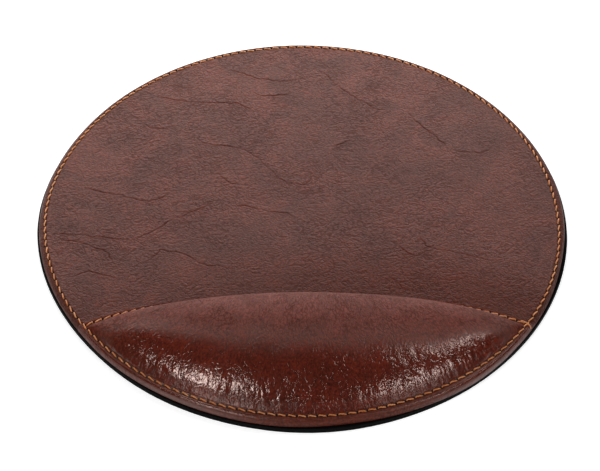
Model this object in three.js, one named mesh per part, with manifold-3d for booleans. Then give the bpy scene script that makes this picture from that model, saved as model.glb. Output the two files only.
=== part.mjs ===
// Round leather mouse pad with a padded wrist rest, as the pieces that it is glued and sewn from.
// Millimetres, +Z up. The origin is the middle of the underside, and the wrist rest faces -Y.

import * as THREE from 'three';
import { mergeVertices } from 'three/addons/utils/BufferGeometryUtils.js';
import Module from 'manifold-3d';

// Outline of the pad, and of the seam behind the wrist rest
const PAD_DIAMETER = 220;
const BASE_STEP = 0.4; // the base stands out past the leather by this much
const WRIST_REST_DEPTH = 64; // from the pad's front edge to the middle of the seam
const SEAM_SAG = 31; // the seam is part of an ellipse this deep
const SEAM_END_INSET = 10; // which is narrower than the pad by this much on each side

// Layers, from the desk up
const BASE_THICKNESS = 3;
const BOARD_THICKNESS = 1.6;
const PANEL_LEATHER = 1.3;
const COVER_LEATHER = 1.3;
const LAP_LEATHER = 0.6; // the panel, pared thin where the cover lies on it
const HEM_LEATHER = 0.5; // both leathers, pared thin where they are turned under the board

// Edges, hems and laps
const BASE_ROUND = 0.6;
const EDGE_ROUND = 1.6;
const HEM_WIDTH = 10;
const LIP_WIDTH = 1.3; // cover's edge behind the seam
const LAP_WIDTH = 3.2; // panel's pared edge in front of the seam
const LAP_END = 3; // the pared edge stops this far inside the rim's stitching

// Crown of the wrist rest
const CROWN_HEIGHT = 13; // above the leather's flat margin
const CROWN_PEAK = 0.39; // where it is highest, as a share of the way from the back to the front
const CROWN_FRONT_EASE = 1.6; // 1 is a round front, more is a sloping one
const CROWN_END_EASE = 0.85; // less is a fuller crown at the two ends
const SEAM_MARGIN = 1.4; // flat leather in front of the seam
const RIM_MARGIN = 2; // flat leather inside the rim's stitching

// Stitching
const STITCH_INSET = 2.8; // from the leather's edge
const RIM_STITCH = 3.83;
const SEAM_STITCH = 3.5;
const NEEDLE_THREAD = 0.8;
const BOBBIN_THREAD = 0.6;
const STITCH_PROUD = 0.1; // thread's middle above the leather, half way along a stitch
const STITCH_SUNK = 0.2; // thread's middle below the leather, at a needle hole
const THREAD_ENDS = 0.6; // between the two ends of the rim's thread
const LEVEL_LEAD = 1.2; // the rim's thread stays on the higher leather this far past the cover
const LEVEL_RUN = 3.6; // and then takes this far to come down to the lower one

// Clearances
const FIT_CLEARANCE = 0.3;
const FOAM_CLEARANCE = 0.2;
const THREAD_CLEARANCE = 0.1; // under a thread in its groove
const GROOVE_SIDE = 0.2; // on each side of a thread in its groove

// Fineness of the facets
const ROUND_STEPS = 96;
const EDGE_STEPS = 3;
const SEAM_STEPS = 48;
const CROWN_COLUMNS = 26;
const CROWN_ROWS = 10;
const THREAD_SIDES = 4;

// Heights and radii that follow from the sizes above
const padRadius = PAD_DIAMETER / 2;
const leatherRadius = padRadius - BASE_STEP;
const stitchRadius = leatherRadius - STITCH_INSET;
const hemRadius = leatherRadius - HEM_WIDTH;
const boardRadius = leatherRadius - Math.max(PANEL_LEATHER, COVER_LEATHER) - FIT_CLEARANCE;
const hemTop = BASE_THICKNESS + HEM_LEATHER;
const boardTop = BASE_THICKNESS + BOARD_THICKNESS;
const panelTop = boardTop + PANEL_LEATHER;
const lapTop = boardTop + LAP_LEATHER;
const coverTop = lapTop + COVER_LEATHER;
const crownTop = coverTop + CROWN_HEIGHT;
const grooveHalf = NEEDLE_THREAD / 2 + GROOVE_SIDE;
const grooveDepth = STITCH_SUNK + NEEDLE_THREAD / 2 + THREAD_CLEARANCE;
const bobbinHalf = BOBBIN_THREAD / 2 + GROOVE_SIDE;
const bobbinDepth = BOBBIN_THREAD + THREAD_CLEARANCE;
const reach = 2 * padRadius; // past the pad in every direction

const wasm = await Module();
wasm.setup();

// Solids and geometries

function merged(geometry) {
  geometry.deleteAttribute('normal');
  geometry.deleteAttribute('uv');
  return mergeVertices(geometry, 1e-5);
}

function solid(geometry) {
  const joined = merged(geometry);
  const index = joined.index.array;
  const triangles = [];
  for (let i = 0; i < index.length; i += 3) {
    const [a, b, c] = [index[i], index[i + 1], index[i + 2]];
    if (a !== b && b !== c && c !== a) triangles.push(a, b, c);
  }
  return new wasm.Manifold(new wasm.Mesh({
    numProp: 3,
    vertProperties: new Float32Array(joined.attributes.position.array),
    triVerts: new Uint32Array(triangles),
  }));
}

function geometryOf(manifold) {
  const mesh = manifold.getMesh();
  const geometry = new THREE.BufferGeometry();
  geometry.setAttribute('position', new THREE.BufferAttribute(mesh.vertProperties, 3));
  geometry.setIndex(new THREE.BufferAttribute(mesh.triVerts, 1));
  geometry.computeVertexNormals();
  return geometry;
}

// A profile of [radius, height] points, turned round the pad's axis
function turned(profile) {
  const points = profile.map(([radius, height]) => new THREE.Vector2(radius, height));
  return solid(new THREE.LatheGeometry(points, ROUND_STEPS).rotateX(Math.PI / 2));
}

function disc(radius, low, high) {
  return turned([[0, low], [radius, low], [radius, high], [0, high]]);
}

// An outline in the XY plane, raised from one height to another
function prism(outline, low, high) {
  const options = { depth: high - low, bevelEnabled: false };
  return solid(new THREE.ExtrudeGeometry(new THREE.Shape(outline), options).translate(0, 0, low));
}

// A quarter circle from one angle to another, as [radius, height] points of a profile
function roundedCorner(radius, height, size, from, to) {
  const points = [];
  for (let i = 0; i <= EDGE_STEPS; i++) {
    const angle = from + ((to - from) * i) / EDGE_STEPS;
    points.push([radius + size * Math.cos(angle), height + size * Math.sin(angle)]);
  }
  return points;
}

// The seam: turn runs from -90 to 90 degrees, and offset is how far behind the stitches the point is

const seamHalfWidth = padRadius - SEAM_END_INSET;
const seamCentre = WRIST_REST_DEPTH - padRadius - SEAM_SAG;

function seamPoint(turn, offset) {
  const [side, back] = [Math.sin(turn), Math.cos(turn)];
  const normal = new THREE.Vector2(side * SEAM_SAG, back * seamHalfWidth).normalize();
  const point = new THREE.Vector2(seamHalfWidth * side, seamCentre + SEAM_SAG * back);
  return point.addScaledVector(normal, offset);
}

// The turn at which a line beside the seam reaches a radius
function seamTurnAt(radius, offset) {
  let [inside, outside] = [0, Math.PI / 2];
  for (let i = 0; i < 50; i++) {
    const middle = (inside + outside) / 2;
    if (seamPoint(middle, offset).length() < radius) inside = middle;
    else outside = middle;
  }
  return inside;
}

function seamLine(offset, end = Math.PI / 2) {
  const points = [];
  for (let i = 0; i <= SEAM_STEPS; i++) points.push(seamPoint(end * ((2 * i) / SEAM_STEPS - 1), offset));
  return points;
}

function inFrontOf(offset, low, high) {
  const corners = [new THREE.Vector2(reach, -reach), new THREE.Vector2(-reach, -reach)];
  return prism([...seamLine(offset), ...corners].reverse(), low, high);
}

function behind(offset, low, high) {
  const corners = [
    new THREE.Vector2(reach, seamCentre),
    new THREE.Vector2(reach, reach),
    new THREE.Vector2(-reach, reach),
    new THREE.Vector2(-reach, seamCentre),
  ];
  return prism([...seamLine(offset), ...corners], low, high);
}

function stripAlongSeam(front, back, low, high, end) {
  return prism([...seamLine(front, end), ...seamLine(back, end).reverse()], low, high);
}

// Crown: a lens between the seam and the rim, which meets its two corners in single points

function crownAcross(angle) {
  const back = angle < 0;
  return {
    share: CROWN_PEAK + (back ? CROWN_PEAK : 1 - CROWN_PEAK) * Math.sin(angle),
    height: Math.max(Math.cos(angle), 0) ** (back ? 1 : CROWN_FRONT_EASE),
  };
}

function crownSolid(inset, foot, bottom) {
  const backOffset = -SEAM_MARGIN - inset;
  const frontRadius = stitchRadius - RIM_MARGIN - inset;
  const cornerTurn = seamTurnAt(frontRadius, backOffset);
  const corner = seamPoint(cornerTurn, backOffset);
  const cornerAngle = Math.atan2(corner.x, -corner.y);
  const fullDepth = frontRadius + seamPoint(0, backOffset).y;
  const perColumn = CROWN_ROWS + 3;
  const position = [];
  const index = [];
  for (let i = 0; i <= CROWN_COLUMNS; i++) {
    const along = (2 * i) / CROWN_COLUMNS - 1;
    const back = seamPoint(along * cornerTurn, backOffset);
    const angle = along * cornerAngle;
    const front = new THREE.Vector2(frontRadius * Math.sin(angle), -frontRadius * Math.cos(angle));
    if (i === 0 || i === CROWN_COLUMNS) front.copy(back);
    const rise = CROWN_HEIGHT * (back.distanceTo(front) / fullDepth) ** CROWN_END_EASE;
    for (let j = 0; j <= CROWN_ROWS; j++) {
      const across = crownAcross(Math.PI * (j / CROWN_ROWS - 0.5));
      const place = back.clone().lerp(front, across.share);
      position.push(place.x, place.y, foot + rise * across.height);
    }
    position.push(front.x, front.y, bottom, back.x, back.y, bottom);
  }
  for (let i = 0; i < CROWN_COLUMNS; i++) {
    for (let j = 0; j < perColumn; j++) {
      const [a, b] = [i * perColumn + j, i * perColumn + ((j + 1) % perColumn)];
      const [c, d] = [a + perColumn, b + perColumn];
      index.push(a, b, c, b, d, c);
    }
  }
  const geometry = new THREE.BufferGeometry();
  geometry.setAttribute('position', new THREE.Float32BufferAttribute(position, 3));
  geometry.setIndex(index);
  return solid(geometry);
}

// Leather with a stitched edge that is turned down round the board and under it
function turnedLeather(underside, thickness) {
  const top = underside + thickness;
  const inner = leatherRadius - thickness;
  const edge = Math.min(EDGE_ROUND, STITCH_INSET - grooveHalf, top - BASE_THICKNESS);
  return turned([
    [0, underside],
    [inner, underside],
    [inner, hemTop],
    [hemRadius, hemTop],
    [hemRadius, BASE_THICKNESS],
    [leatherRadius, BASE_THICKNESS],
    ...roundedCorner(leatherRadius - edge, top - edge, edge, 0, Math.PI / 2),
    [stitchRadius + grooveHalf, top],
    [stitchRadius + grooveHalf, top - grooveDepth],
    [stitchRadius - grooveHalf, top - grooveDepth],
    [stitchRadius - grooveHalf, top],
    [0, top],
  ]);
}

// Threads

// A row of stitches: the thread is down at each needle hole and up in the middle of each stitch
class StitchLine extends THREE.Curve {
  constructor(stitches, place, sunk, proud) {
    super();
    Object.assign(this, { stitches, place, sunk, proud });
  }

  getUtoTmapping(u) {
    return u; // equal steps land on the holes and on the middles
  }

  getPoint(t) {
    const wave = Math.cos(2 * Math.PI * t * this.stitches);
    const point = this.place(t);
    point.z += (this.proud - this.sunk) / 2 - (wave * (this.proud + this.sunk)) / 2;
    return point;
  }
}

function threadGeometry(line, diameter, stepsPerStitch) {
  const section = new THREE.Shape();
  for (let i = 0; i < THREAD_SIDES; i++) {
    const angle = (2 * Math.PI * i) / THREAD_SIDES;
    const corner = [(diameter / 2) * Math.cos(angle), (diameter / 2) * Math.sin(angle)];
    if (i === 0) section.moveTo(...corner);
    else section.lineTo(...corner);
  }
  const steps = line.stitches * stepsPerStitch;
  const options = { steps, extrudePath: line, bevelEnabled: false };
  return merged(new THREE.ExtrudeGeometry(section, options));
}

const lipEnd = seamPoint(seamTurnAt(stitchRadius, LIP_WIDTH), LIP_WIDTH);
const lipAngle = Math.atan2(lipEnd.x, -lipEnd.y);

// Height of the leather under the rim's thread, at an angle counted from the front
function rimLevel(angle) {
  const turns = angle / (2 * Math.PI);
  const fromFront = Math.abs(turns - Math.round(turns)) * 2 * Math.PI;
  const past = (fromFront - lipAngle) * stitchRadius;
  const eased = THREE.MathUtils.smoothstep(Math.abs(past), LEVEL_LEAD, LEVEL_LEAD + LEVEL_RUN);
  return THREE.MathUtils.lerp(Math.max(panelTop, coverTop), past > 0 ? panelTop : coverTop, eased);
}

const rimSweep = 2 * Math.PI - THREAD_ENDS / stitchRadius;
const rimStitches = Math.round((rimSweep * stitchRadius) / RIM_STITCH);

function rimLine(level, sunk, proud) {
  const place = (t) => {
    const angle = lipAngle + rimSweep * t;
    return new THREE.Vector3(stitchRadius * Math.sin(angle), -stitchRadius * Math.cos(angle), level(angle));
  };
  return new StitchLine(rimStitches, place, sunk, proud);
}

const seamThreadEnd = seamTurnAt(stitchRadius - NEEDLE_THREAD / 2 - FIT_CLEARANCE, 0);
const seamLength = new THREE.SplineCurve(seamLine(0, seamThreadEnd)).getLength();
const seamStitches = Math.round(seamLength / SEAM_STITCH);

function seamStitchLine(level, sunk, proud) {
  const place = (t) => {
    const point = seamPoint(seamThreadEnd * (2 * t - 1), 0);
    return new THREE.Vector3(point.x, point.y, level);
  };
  return new StitchLine(seamStitches, place, sunk, proud);
}

// Pieces, from the desk up

function baseSheet() {
  const rim = Math.min(BASE_ROUND, BASE_THICKNESS);
  return turned([
    [0, 0],
    ...roundedCorner(padRadius - rim, rim, rim, -Math.PI / 2, 0),
    [padRadius, BASE_THICKNESS],
    [stitchRadius + bobbinHalf, BASE_THICKNESS],
    [stitchRadius + bobbinHalf, BASE_THICKNESS - bobbinDepth],
    [stitchRadius - bobbinHalf, BASE_THICKNESS - bobbinDepth],
    [stitchRadius - bobbinHalf, BASE_THICKNESS],
    [0, BASE_THICKNESS],
  ]);
}

function coreBoard() {
  const step = hemRadius - FIT_CLEARANCE;
  const board = turned([
    [0, BASE_THICKNESS],
    [step, BASE_THICKNESS],
    [step, hemTop],
    [boardRadius, hemTop],
    [boardRadius, boardTop],
    [0, boardTop],
  ]);
  const grooveEnd = seamTurnAt(stitchRadius, 0);
  return board.subtract(stripAlongSeam(-bobbinHalf, bobbinHalf, boardTop - bobbinDepth, crownTop, grooveEnd));
}

function mousingPanel() {
  const edge = LIP_WIDTH + FIT_CLEARANCE;
  const sheet = turnedLeather(boardTop, PANEL_LEATHER).intersect(behind(edge, 0, crownTop));
  const lapStrip = stripAlongSeam(-LAP_WIDTH, edge + LAP_WIDTH, 0, crownTop);
  return sheet.add(disc(stitchRadius - LAP_END, boardTop, lapTop).intersect(lapStrip));
}

function wristRestCover() {
  const flat = turnedLeather(lapTop, COVER_LEATHER).intersect(inFrontOf(LIP_WIDTH, 0, crownTop));
  const crown = crownSolid(0, coverTop, (lapTop + coverTop) / 2);
  const filling = crownSolid(COVER_LEATHER, lapTop, 0);
  const grooveEnd = seamTurnAt(stitchRadius, 0);
  const groove = stripAlongSeam(-grooveHalf, grooveHalf, coverTop - grooveDepth, crownTop, grooveEnd);
  return flat.subtract(groove).add(crown).subtract(filling.intersect(inFrontOf(0, boardTop, 2 * crownTop)));
}

function wristRestFoam() {
  const edge = disc(boardRadius, boardTop, lapTop - FOAM_CLEARANCE);
  const crown = crownSolid(COVER_LEATHER + FOAM_CLEARANCE, lapTop - FOAM_CLEARANCE, boardTop);
  return edge.add(crown).subtract(behind(-LAP_WIDTH - FIT_CLEARANCE, 0, lapTop + FIT_CLEARANCE));
}

// Finishes

const blackRubber = new THREE.MeshStandardMaterial({ color: 0x0b0a0a, roughness: 0.9, metalness: 0 });
const fibreboard = new THREE.MeshStandardMaterial({ color: 0x8a7358, roughness: 0.95, metalness: 0 });
const panelBrown = new THREE.MeshStandardMaterial({ color: 0x5a3630, roughness: 0.5, metalness: 0 });
const coverBrown = new THREE.MeshStandardMaterial({ color: 0x4e241b, roughness: 0.35, metalness: 0 });
const paleFoam = new THREE.MeshStandardMaterial({ color: 0xd8d2c0, roughness: 1, metalness: 0 });
const orangeThread = new THREE.MeshStandardMaterial({ color: 0xc07a3c, roughness: 0.6, metalness: 0 });

const mousePad = new THREE.Group();

function addPiece(name, geometry, material) {
  const mesh = new THREE.Mesh(geometry, material);
  mesh.name = name;
  mousePad.add(mesh);
}

const bobbinSunk = BOBBIN_THREAD / 2;
const rimNeedle = rimLine(rimLevel, STITCH_SUNK, STITCH_PROUD);
const rimBobbin = rimLine(() => BASE_THICKNESS, bobbinSunk, -bobbinSunk);
const seamNeedle = seamStitchLine(coverTop, STITCH_SUNK, STITCH_PROUD);
const seamBobbin = seamStitchLine(boardTop, bobbinSunk, -bobbinSunk);

addPiece('base_sheet', geometryOf(baseSheet()), blackRubber);
addPiece('core_board', geometryOf(coreBoard()), fibreboard);
addPiece('mousing_panel', geometryOf(mousingPanel()), panelBrown);
addPiece('wrist_rest_foam', geometryOf(wristRestFoam()), paleFoam);
addPiece('wrist_rest_cover', geometryOf(wristRestCover()), coverBrown);
addPiece('rim_needle_thread', threadGeometry(rimNeedle, NEEDLE_THREAD, 2), orangeThread);
addPiece('rim_bobbin_thread', threadGeometry(rimBobbin, BOBBIN_THREAD, 1), orangeThread);
addPiece('seam_needle_thread', threadGeometry(seamNeedle, NEEDLE_THREAD, 2), orangeThread);
addPiece('seam_bobbin_thread', threadGeometry(seamBobbin, BOBBIN_THREAD, 1), orangeThread);

export default mousePad;
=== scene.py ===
# %% [markdown]
# # A round leather mouse pad with a padded wrist rest
# The real pad is glued and sewn from flat stock: a black rubber sheet, a stiff board, two pieces of brown
# leather, a foam filling and orange thread. The construction comes in as a fixed frame, at its real size.
# This lesson gives every piece that shows its fine surface and its finish.

# %% Load the frame
import math

import bmesh
import bpy
import numpy as np
from mathutils import Matrix, Vector, geometry, kdtree, noise


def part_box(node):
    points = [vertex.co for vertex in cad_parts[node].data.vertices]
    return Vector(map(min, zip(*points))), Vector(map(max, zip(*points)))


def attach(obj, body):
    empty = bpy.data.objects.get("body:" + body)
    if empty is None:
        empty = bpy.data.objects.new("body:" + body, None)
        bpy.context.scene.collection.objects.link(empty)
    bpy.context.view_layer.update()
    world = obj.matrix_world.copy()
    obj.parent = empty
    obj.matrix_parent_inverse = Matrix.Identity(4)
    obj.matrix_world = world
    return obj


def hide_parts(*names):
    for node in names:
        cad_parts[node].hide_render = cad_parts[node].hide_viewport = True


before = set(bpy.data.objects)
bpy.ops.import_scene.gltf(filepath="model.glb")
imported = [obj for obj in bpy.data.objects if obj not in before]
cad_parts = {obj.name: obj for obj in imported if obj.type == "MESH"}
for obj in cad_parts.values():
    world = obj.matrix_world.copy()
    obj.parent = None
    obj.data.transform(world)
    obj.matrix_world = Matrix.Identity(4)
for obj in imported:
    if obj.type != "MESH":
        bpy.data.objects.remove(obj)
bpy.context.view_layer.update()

print("frame nodes:", sorted(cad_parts))

# %% [markdown]
# ## Sizes
# The meshes are worked out in millimetres, because leather and thread are measured that way, and turned
# into metres when an object is made. Radii and heights come from the frame's own boxes. What a box can't
# say, such as where the seam runs, repeats the construction's driving sizes.

# %% Sizes in millimetres
MM = 0.001


def reach(node):
    """The highest corner of a frame node, in millimetres."""
    return np.array(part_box(node)[1]) / MM


PAD_RADIUS = reach("base_sheet")[0]
BASE_TOP = reach("base_sheet")[2]
LEATHER_RADIUS = reach("mousing_panel")[0]
PANEL_TOP = reach("mousing_panel")[2]
BOARD_TOP = reach("core_board")[2]
CROWN_TOP = reach("wrist_rest_cover")[2]

LEATHER = 1.3
COVER_STEP = 0.6
COVER_TOP = PANEL_TOP + COVER_STEP
WRIST_REST_DEPTH = 64.0
SEAM_SAG = 31.0
SEAM_HALF = PAD_RADIUS - 10.0
SEAM_CENTRE = WRIST_REST_DEPTH - PAD_RADIUS - SEAM_SAG
LIP_WIDTH = 1.3
STITCH_RADIUS = LEATHER_RADIUS - 2.8
RIM_STITCHES = 175
SEAM_STITCHES = 51
print("pad radius", PAD_RADIUS, "panel top", PANEL_TOP, "crown top", CROWN_TOP)

# %% [markdown]
# ## Camera
# The pad was photographed from the front and above with a long lens, and the camera was rolled by half a
# degree. The camera circles an aim point on the desk, so its place follows from an angle round the pad, an
# angle above the desk and a distance.

# %% Camera
IMAGE_WIDTH = 600
FOCAL_PIXELS = 1827.4
SENSOR_WIDTH = 36.0
VIEW_AIM = Vector((-1.529, -7.113, 0.0)) * MM
VIEW_DISTANCE = 0.765
VIEW_AZIMUTH = math.radians(-1.04)
VIEW_ELEVATION = math.radians(46.428)
VIEW_ROLL = math.radians(0.566)


def add_camera():
    """A camera that looks at the aim point from the front of the pad."""
    level = math.cos(VIEW_ELEVATION)
    towards = Vector((
        level * math.sin(VIEW_AZIMUTH),
        -level * math.cos(VIEW_AZIMUTH),
        math.sin(VIEW_ELEVATION),
    ))
    lens = bpy.data.cameras.new("camera")
    lens.sensor_width = SENSOR_WIDTH
    lens.lens = SENSOR_WIDTH * FOCAL_PIXELS / IMAGE_WIDTH
    camera = bpy.data.objects.new("camera", lens)
    bpy.context.scene.collection.objects.link(camera)
    turn = towards.to_track_quat("Z", "Y").to_matrix() @ Matrix.Rotation(VIEW_ROLL, 3, "Z")
    camera.matrix_world = Matrix.Translation(VIEW_AIM + towards * VIEW_DISTANCE) @ turn.to_4x4()
    bpy.context.scene.camera = camera
    return camera


camera = add_camera()
print("camera at", [round(x, 4) for x in camera.matrix_world.translation])

# %% [markdown]
# ## Node helpers
# Every finish is a small graph of shader nodes. One helper places a node, sets its options and fills its
# sockets, either with plain values or with the outputs of other nodes. The others name what the finishes do
# most, such as a fade between two values or a mix of two colours, so that a finish reads as a list.

# %% Node helpers
def put(tree, kind, sockets=None, **options):
    """Places a node and fills its sockets with values or with other nodes' outputs."""
    made = tree.nodes.new(kind)
    for name, value in options.items():
        setattr(made, name, value)
    for key, value in (sockets or {}).items():
        socket = made.inputs[key]
        if isinstance(value, bpy.types.NodeSocket):
            tree.links.new(value, socket)
        else:
            socket.default_value = value
    return made


def calc(tree, operation, *values):
    """One Math node."""
    return put(tree, "ShaderNodeMath", dict(enumerate(values)), operation=operation).outputs[0]


def fade(tree, value, start, end, low=0.0, high=1.0):
    """Goes smoothly from low to high while the value goes from start to end."""
    sockets = {"Value": value, "From Min": start, "From Max": end, "To Min": low, "To Max": high}
    return put(tree, "ShaderNodeMapRange", sockets, interpolation_type="SMOOTHSTEP").outputs[0]


def blend(tree, share, first, second, way="MIX"):
    """Mixes two colours."""
    sockets = {0: share, 6: first, 7: second}
    return put(tree, "ShaderNodeMix", sockets, data_type="RGBA", blend_type=way).outputs[2]


def new_finish(name):
    """An empty material with its Principled shader."""
    finish = bpy.data.materials.new(name)
    finish.use_nodes = True
    return finish, finish.node_tree, finish.node_tree.nodes["Principled BSDF"]


print("node helpers ready")

# %% [markdown]
# ## Floor
# A product picture on white needs a floor that is white to the camera and still takes a shadow. The floor's
# material adds a glow that only the camera and reflections see, so it sends no extra light to the leather.
# The glow is weaker close to the pad, where it would drown the shadow.

# %% Floor
FLOOR_SIZE = 6.0
FLOOR_COLOUR = (0.8, 0.8, 0.8, 1.0)
GLOW_NEAR = 0.64
GLOW_FAR = 0.95
SHADOW_REACH = (0.16, 0.45)


def object_place(tree):
    """A point's place on its object, in metres."""
    return put(tree, "ShaderNodeTexCoord").outputs["Object"]


def floor_finish():
    """A matt white that glows for the camera and for reflections, less where the shadow falls."""
    finish, tree, shader = new_finish("floor_white")
    path = put(tree, "ShaderNodeLightPath").outputs
    seen = calc(tree, "MAXIMUM", path["Is Camera Ray"], path["Is Glossy Ray"])
    seen = calc(tree, "MAXIMUM", seen, path["Is Transmission Ray"])
    shader.inputs["Base Color"].default_value = FLOOR_COLOUR
    shader.inputs["Roughness"].default_value = 1.0
    shader.inputs["Specular IOR Level"].default_value = 0.0
    shader.inputs["Emission Color"].default_value = (1.0, 1.0, 1.0, 1.0)
    away = put(tree, "ShaderNodeVectorMath", {0: object_place(tree)}, operation="LENGTH").outputs["Value"]
    glow = fade(tree, away, *SHADOW_REACH, GLOW_NEAR, GLOW_FAR)
    tree.links.new(calc(tree, "MULTIPLY", seen, glow), shader.inputs["Emission Strength"])
    return finish


def add_floor():
    """A wide square at desk height, which belongs to the stage and not to the pad."""
    half = FLOOR_SIZE / 2
    corners = [(-half, -half, 0), (half, -half, 0), (half, half, 0), (-half, half, 0)]
    sheet = bpy.data.meshes.new("floor")
    sheet.from_pydata(corners, [], [(0, 1, 2, 3)])
    sheet.materials.append(floor_finish())
    floor = bpy.data.objects.new("floor", sheet)
    bpy.context.scene.collection.objects.link(floor)
    return floor


floor = add_floor()
print("floor", floor.name)

# %% [markdown]
# ## Lights
# The lamps are soft boxes, as in a studio. Two beside the camera draw the highlights on the wrist rest's
# front, and a broader, lower box under each of them carries those highlights on to its ends. A box at the
# right and a broad panel behind the pad give the leather its satin sheen. Two fills lift what the boxes
# leave dark. They are hidden from reflections, because a broad lamp mirrored in the leather would turn its
# brown to grey. The world is nearly dark for the same reason.

# %% Lights
SOFT_BOXES = (
    ("left_box", (-0.44, -0.40, 0.81), 1.0, (0.14, 0.24), 1.65),
    ("left_low_box", (-0.45, -0.78, 0.43), 1.0, (0.30, 0.34), 1.1),
    ("right_box", (0.51, -0.46, 0.73), 1.0, (0.15, 0.22), 1.15),
    ("right_low_box", (0.56, -0.74, 0.38), 1.0, (0.26, 0.28), 0.5),
    ("side_box", (0.56, 0.14, 0.82), 1.0, (0.20, 0.20), 1.25),
    ("front_fill", (0.0, -0.95, 0.30), 1.0, (0.90, 0.25), 0.2),
    ("back_panel", (-0.04, 0.27, 0.12), 0.30, (0.72, 0.26), 2.1),
    ("top_fill", (0.0, 0.34, 0.94), 0.8, (0.70, 0.40), 0.3),
)
HIDDEN_FROM_REFLECTIONS = ("front_fill", "top_fill")
WORLD_COLOUR = (0.05, 0.05, 0.052, 1.0)


def add_soft_box(name, towards, distance, size, power):
    """A square or oblong lamp that faces the pad's middle."""
    lamp = bpy.data.lights.new(name, "AREA")
    lamp.shape = "RECTANGLE"
    lamp.size, lamp.size_y = size
    lamp.energy = power
    box = bpy.data.objects.new(name, lamp)
    direction = Vector(towards).normalized()
    turn = direction.to_track_quat("Z", "Y").to_matrix().to_4x4()
    box.matrix_world = Matrix.Translation(direction * distance) @ turn
    box.visible_glossy = name not in HIDDEN_FROM_REFLECTIONS
    bpy.context.scene.collection.objects.link(box)


for soft_box in SOFT_BOXES:
    add_soft_box(*soft_box)

world = bpy.data.worlds.new("studio")
bpy.context.scene.world = world
world.use_nodes = True
world.node_tree.nodes["Background"].inputs["Color"].default_value = WORLD_COLOUR
bpy.context.scene.view_settings.view_transform = "Standard"

# %% [markdown]
# ## Leather grain
# Both leathers come from a waxed hide. It is covered with fine wrinkles a millimetre or two apart, dense in
# some patches and faint in others. Longer folds wander between them and come and go. The dye took
# unevenly, so the colour is cloudy. A pattern of cells would look like lizard skin, but a line drawn where a
# noise passes its middle value winds as a wrinkle does. All of it is one node group that works in
# millimetres.

# %% Winding lines
def vectors(tree, operation, sockets):
    """One Vector Math node."""
    return put(tree, "ShaderNodeVectorMath", sockets, operation=operation).outputs[0]


def soft_noise(tree, place, scale, detail, **more):
    """A cloudy pattern with values round 0.5."""
    sockets = {"Vector": place, "Scale": scale, "Detail": detail, **more}
    return put(tree, "ShaderNodeTexNoise", sockets).outputs[0]


def bent(tree, place, scale, amount):
    """A place pushed about by a soft noise, so that a pattern on it loses its straight lines."""
    sockets = {"Vector": place, "Scale": scale, "Detail": 3.0}
    push = put(tree, "ShaderNodeTexNoise", sockets).outputs["Color"]
    centred = vectors(tree, "SUBTRACT", {0: push, 1: (0.5, 0.5, 0.5)})
    return vectors(tree, "ADD", {0: place, 1: vectors(tree, "SCALE", {0: centred, "Scale": amount})})


def winding_lines(tree, place, scale, width):
    """Thin winding lines where a noise passes its middle value, 1 on a line and 0 beside it."""
    away = calc(tree, "ABSOLUTE", calc(tree, "SUBTRACT", soft_noise(tree, place, scale, 1.0), 0.5))
    return fade(tree, away, 0.0, width, 1.0, 0.0)


def patches(tree, place, scale, start, end, low=0.0):
    """Soft patches, 1 inside and low outside."""
    return fade(tree, soft_noise(tree, place, scale, 3.0), start, end, low, 1.0)


print("patterns for the grain ready")

# %% Leather grain group
WRINKLE_WIDTH = 0.10
FOLD_WIDTH = 0.03
FOLD_SCALE = 0.34
GRAIN_HEIGHT = 0.24
LINE_HEIGHT = 0.17


def leather_grain_group():
    """From a place in millimetres: a height, dark lines, a fine grain and a cloudy tone."""
    group = bpy.data.node_groups.new("leather_grain", "ShaderNodeTree")
    for name in ("Place", "Stretch"):
        group.interface.new_socket(name, in_out="INPUT", socket_type="NodeSocketVector")
    group.interface.new_socket("Wrinkles", in_out="INPUT", socket_type="NodeSocketFloat")
    for name in ("Height", "Line", "Grain", "Cloud"):
        group.interface.new_socket(name, in_out="OUTPUT", socket_type="NodeSocketFloat")
    given = put(group, "NodeGroupInput").outputs
    place = given["Place"]

    crinkled = vectors(group, "MULTIPLY", {0: bent(group, place, 0.14, 4.5), 1: given["Stretch"]})
    grain = soft_noise(group, crinkled, 0.95, 2.0, Roughness=0.5)
    wrinkle = winding_lines(group, crinkled, given["Wrinkles"], WRINKLE_WIDTH)
    wrinkle = calc(group, "MULTIPLY", wrinkle, patches(group, place, 0.06, 0.36, 0.60, 0.45))
    fold_scale = calc(group, "MULTIPLY", given["Wrinkles"], FOLD_SCALE)
    fold = winding_lines(group, bent(group, crinkled, 0.4, 2.0), fold_scale, FOLD_WIDTH)
    fold = calc(group, "MULTIPLY", fold, patches(group, place, 0.05, 0.46, 0.62))
    cloud = soft_noise(group, place, 0.040, 7.0, Roughness=0.64, Distortion=1.2)
    line = calc(group, "MAXIMUM", calc(group, "MULTIPLY", wrinkle, 0.8), calc(group, "MULTIPLY", fold, 0.9))
    rough = calc(group, "MULTIPLY", calc(group, "SUBTRACT", grain, 0.5), GRAIN_HEIGHT)
    height = calc(group, "SUBTRACT", rough, calc(group, "MULTIPLY", line, LINE_HEIGHT))
    put(group, "NodeGroupOutput", {"Height": height, "Line": line, "Grain": grain, "Cloud": cloud})
    return group


LEATHER_GRAIN = leather_grain_group()
print("group", LEATHER_GRAIN.name, "with", len(LEATHER_GRAIN.nodes), "nodes")
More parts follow.
